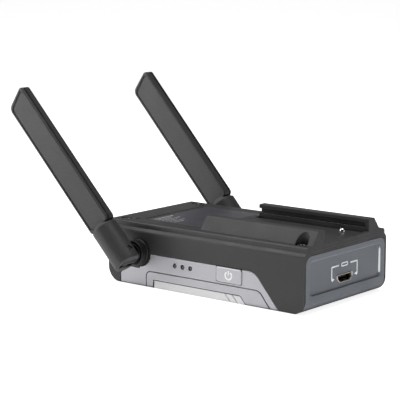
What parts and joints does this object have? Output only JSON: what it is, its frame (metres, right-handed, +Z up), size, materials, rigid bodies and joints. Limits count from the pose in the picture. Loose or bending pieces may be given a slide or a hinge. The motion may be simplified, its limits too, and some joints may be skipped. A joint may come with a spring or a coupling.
{
  "type": "wireless receiver unit",
  "caption": "Flat wireless receiver with a slide-in rail channel and spring lock pin on its back, silver side trims, status lights, a power button, an output port and folding paddle antennas.",
  "frame": {"origin": "centre of the flat bottom", "axes": "+X towards the end with the port, -Y the side with the lights and the power button, +Z up through the back plane with the rails"},
  "size_m": [0.157, 0.0964, 0.0879],
  "materials": {
    "black_shell": "fine moulded grain",
    "black_cover": "fine moulded grain",
    "screw_steel": "zinc plated",
    "silver_trim": "satin silver",
    "silver_strip": "bright satin",
    "end_grey": "satin grey",
    "port_metal": "plated sheet",
    "port_insert": "dull",
    "label_film": "smooth film",
    "silver_button": "satin silver",
    "switch_plastic": "dull",
    "board_green": "solder mask",
    "led_resin": "clear yellow",
    "clear_guide": "clear",
    "shield_tin": "tinned sheet",
    "chip_black": "moulded",
    "sink_aluminium": "plain",
    "battery_film": "foil pouch",
    "foam": "foam tape",
    "pin_chrome": "polished",
    "spring_steel": "drawn wire",
    "retainer_plastic": "dull",
    "collar_black": "satin",
    "jack_brass": "gold plated",
    "nut_black": "black, satin",
    "antenna_black": "fine moulded grain",
    "pin_steel": "ground",
    "lead_black": "jacket"
  },
  "bodies": {
    "housing": {"antenna_collar_far": "collar_black", "antenna_collar_near": "collar_black", "antenna_jack_far": "jack_brass", "antenna_jack_near": "jack_brass", "antenna_lead_far": "lead_black", "antenna_lead_near": "lead_black", "back_strip": "silver_strip", "back_trim": "silver_trim", "battery_pack": "battery_film", "battery_pad": "foam", "board_screws": "screw_steel", "cover_screws": "screw_steel", "end_panel": "end_grey", "front_strip": "silver_strip", "front_trim": "silver_trim", "heat_sink": "sink_aluminium", "info_label": "label_film", "jack_nut_far": "jack_brass", "jack_nut_near": "jack_brass", "lead_socket_far": "jack_brass", "lead_socket_near": "jack_brass", "light_guide": "clear_guide", "lock_retainer": "retainer_plastic", "main_board": "board_green", "main_shell": "black_shell", "port_shell": "port_metal", "port_tongue": "port_insert", "power_switch": "switch_plastic", "radio_chip": "chip_black", "rf_shield": "shield_tin", "side_board": "board_green", "status_leds": "led_resin", "top_cover": "black_cover", "video_chip": "chip_black"},
    "power_button": {"power_button": "silver_button", "switch_plunger": "switch_plastic"},
    "lock_pin": {"lock_pin": "pin_chrome", "lock_spring": "spring_steel"},
    "coupling_nut_near": {"coupling_nut_near": "nut_black"},
    "elbow_near": {"elbow_near": "antenna_black", "rf_plug_near": "jack_brass"},
    "antenna_near": {"antenna_body_near": "antenna_black", "antenna_cover_near": "antenna_black", "antenna_strip_near": "board_green", "fold_pin_near": "pin_steel"},
    "coupling_nut_far": {"coupling_nut_far": "nut_black"},
    "elbow_far": {"elbow_far": "antenna_black", "rf_plug_far": "jack_brass"},
    "antenna_far": {"antenna_body_far": "antenna_black", "antenna_cover_far": "antenna_black", "antenna_strip_far": "board_green", "fold_pin_far": "pin_steel"}
  },
  "joints": [
    {"name": "nut_turn_near", "type": "hinge", "parent": "housing", "child": "coupling_nut_near", "pos_m": [-0.0359, -0.034, 0.0155], "axis": [0, 1, 0], "continuous": true},
    {"name": "swivel_near", "type": "hinge", "parent": "housing", "child": "elbow_near", "pos_m": [-0.0359, -0.034, 0.0155], "axis": [0, 1, 0], "continuous": true},
    {"name": "fold_near", "type": "hinge", "parent": "elbow_near", "child": "antenna_near", "pos_m": [-0.0359, -0.042, 0.0155], "axis": [0.7193, 0, 0.6947], "range_deg": [0, 90]},
    {"name": "nut_turn_far", "type": "hinge", "parent": "housing", "child": "coupling_nut_far", "pos_m": [-0.0359, 0.034, 0.0155], "axis": [0, 1, 0], "continuous": true},
    {"name": "swivel_far", "type": "hinge", "parent": "housing", "child": "elbow_far", "pos_m": [-0.0359, 0.034, 0.0155], "axis": [0, 1, 0], "continuous": true},
    {"name": "fold_far", "type": "hinge", "parent": "elbow_far", "child": "antenna_far", "pos_m": [-0.0359, 0.042, 0.0155], "axis": [-0.7373, 0, -0.6756], "range_deg": [0, 90]},
    {"name": "button_press", "type": "slide", "parent": "housing", "child": "power_button", "axis": [0, 1, 0], "range_m": [0, 0.00035], "stiffness_N_per_m": 200, "springref_m": -0.001},
    {"name": "lock_press", "type": "slide", "parent": "housing", "child": "lock_pin", "axis": [0, 0, -1], "range_m": [0, 0.0015], "stiffness_N_per_m": 300, "springref_m": -0.002, "deforming": ["lock_spring"]}
  ]
}
